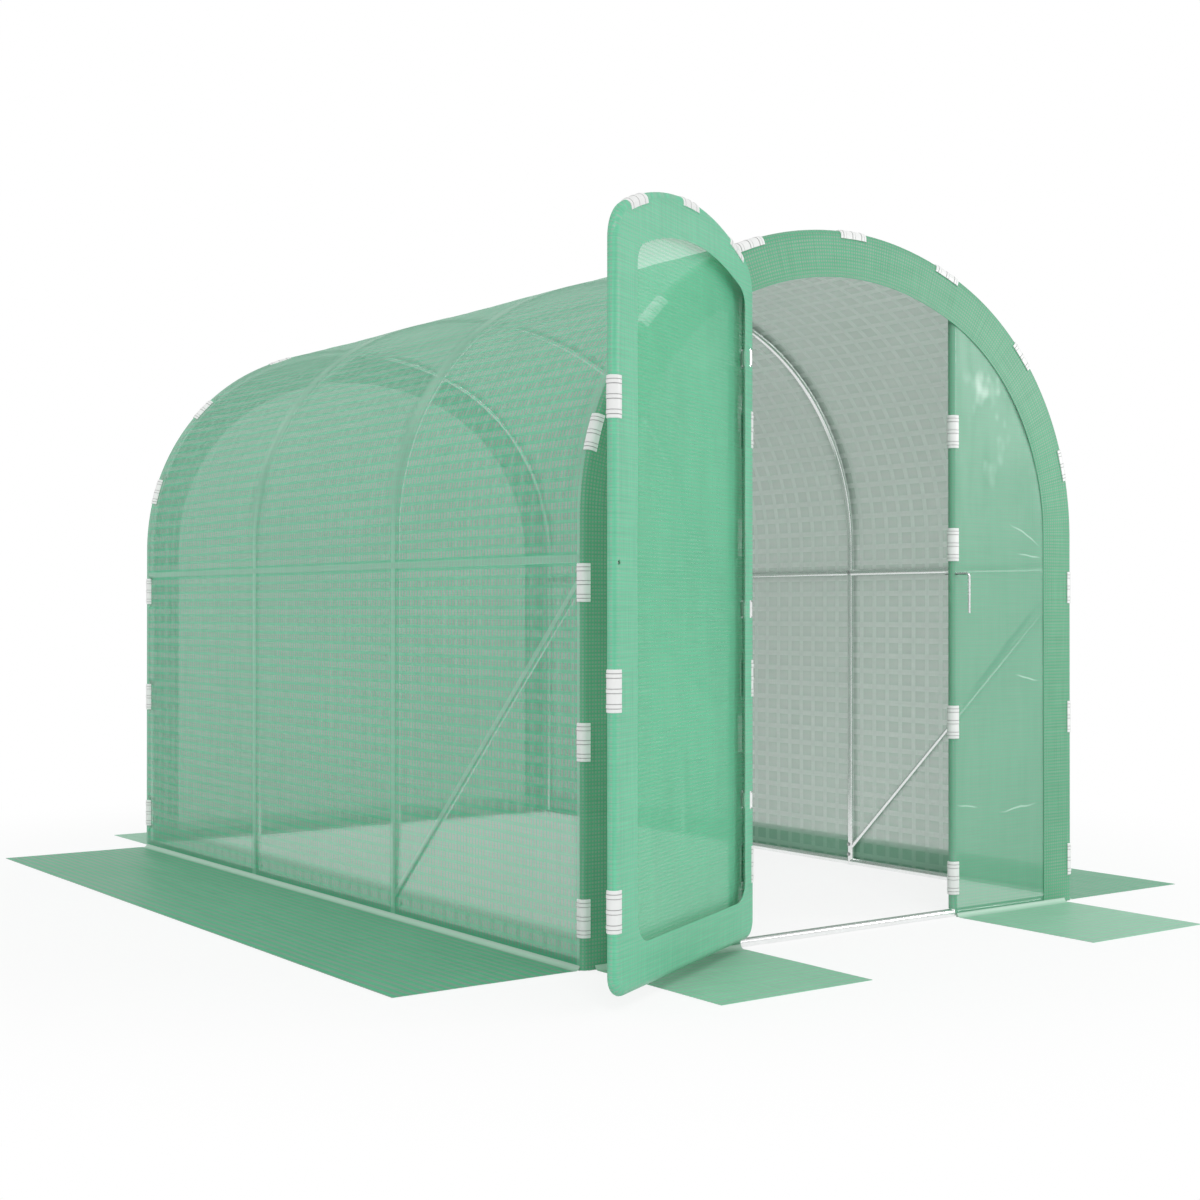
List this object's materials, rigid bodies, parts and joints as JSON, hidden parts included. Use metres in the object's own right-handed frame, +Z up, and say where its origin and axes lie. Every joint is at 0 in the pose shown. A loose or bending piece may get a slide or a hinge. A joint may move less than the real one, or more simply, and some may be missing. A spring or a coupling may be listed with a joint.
{
  "type": "polytunnel greenhouse",
  "caption": "Walk-in polytunnel greenhouse: galvanised tube hoops under a clipped green woven film, ground skirts and a hinged film door held by a latch pin.",
  "frame": {"origin": "on the ground under the middle of the footprint, skirts included", "axes": "+Z up, +Y along the tunnel from the door end to the closed end, +X to the right seen from the door end"},
  "size_m": [3.073, 3.965, 2.0656],
  "materials": {
    "tube": "galvanised steel tube, satin grey",
    "film": "translucent green film with a woven reinforcing grid",
    "clip": "white moulded plastic",
    "pin": "bright zinc-plated rod"
  },
  "bodies": {
    "frame": {"front_hoop": "tube", "second_hoop": "tube", "third_hoop": "tube", "back_hoop": "tube", "ridge_tube": "tube", "left_waist_rail": "tube", "right_waist_rail": "tube", "left_base_rail": "tube", "right_base_rail": "tube", "threshold_rail": "tube", "back_base_rail": "tube", "left_door_post": "tube", "right_door_post": "tube", "left_brace": "tube", "right_brace": "tube", "left_wall_cover": "film", "left_roof_cover": "film", "crown_cover": "film", "right_roof_cover": "film", "right_wall_cover": "film", "front_band": "film", "back_band": "film", "front_left_panel": "film", "front_right_panel": "film", "back_panel": "film", "left_skirt": "film", "right_skirt": "film", "front_left_skirt": "film", "front_right_skirt": "film", "back_skirt": "film", "front_hoop_clips": "clip", "back_hoop_clips": "clip", "left_post_clips": "clip", "right_post_clips": "clip", "hinge_brackets": "tube"},
    "door": {"door_frame": "tube", "door_panel": "film", "door_edge": "film", "door_hem": "film", "door_clips": "clip"},
    "latch": {"latch_pin": "pin"}
  },
  "joints": [
    {"name": "door_hinge", "type": "hinge", "parent": "frame", "child": "door", "pos_m": [-0.436, -1.4905, 1], "axis": [0, 0, -1], "range_deg": [-151.5, 28.5]},
    {"name": "latch_slide", "type": "slide", "parent": "frame", "child": "latch", "axis": [0, -1, 0], "range_m": [0, 0.105]}
  ]
}
